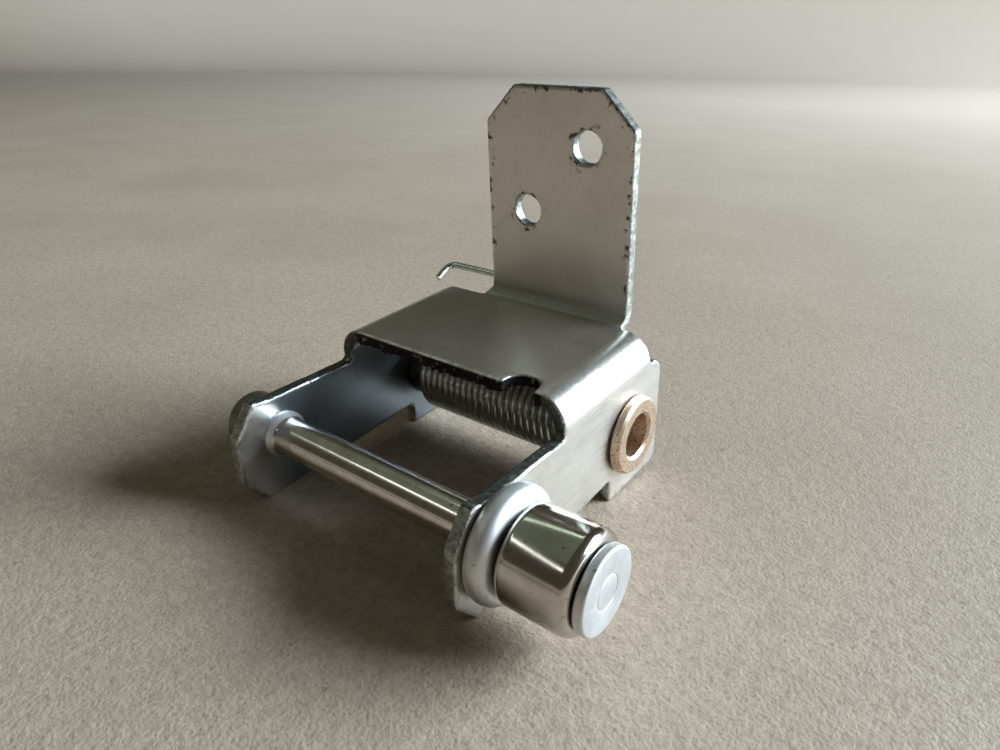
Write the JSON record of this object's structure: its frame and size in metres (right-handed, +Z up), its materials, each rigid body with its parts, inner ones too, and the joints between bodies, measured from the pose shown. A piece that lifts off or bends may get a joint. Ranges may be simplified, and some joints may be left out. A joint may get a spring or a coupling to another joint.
{
  "type": "door closer roller arm",
  "caption": "Folded sheet-steel lever with an upright fixing tab, bushed pivot, torsion spring with hooked leg, and a roller on a cross axle.",
  "frame": {"origin": "on the pivot axis, midway between the two cheeks", "axes": "+X along the pivot bore towards the roller, +Y to the rear where the tab's fixing face looks, +Z up out of the plate"},
  "size_m": [0.0756, 0.0651, 0.0672],
  "materials": {
    "sheet_steel": "zinc-plated sheet, drawn and lightly scratched",
    "bronze": "sintered bronze, satin and porous",
    "dark_steel": "dull steel tube",
    "spring_wire": "bright drawn wire",
    "ground_steel": "ground and polished, zinc flash",
    "turned_steel": "satin zinc over turned steel",
    "polished_steel": "mirror-ground bearing steel"
  },
  "bodies": {
    "lever": {"bracket": "sheet_steel", "flanged_bush_right": "bronze", "flanged_bush_left": "bronze", "spring_tube": "dark_steel", "spring_coil": "spring_wire", "roller_axle": "ground_steel", "axle_collar_left": "turned_steel", "axle_collar_right": "turned_steel", "axle_washer": "turned_steel"},
    "roller": {"roller": "polished_steel", "roller_bush": "bronze"},
    "spring_arm": {"spring_leg": "spring_wire"}
  },
  "joints": [
    {"name": "roller_spin", "type": "hinge", "parent": "lever", "child": "roller", "pos_m": [0.035, -0.0375, 0.0022], "axis": [1, 0, 0], "continuous": true},
    {"name": "spring_wind", "type": "hinge", "parent": "lever", "child": "spring_arm", "pos_m": [-0.0186, 0, 0], "axis": [1, 0, 0], "range_deg": [-90, 0], "stiffness_Nm_per_rad": 0.042}
  ]
}
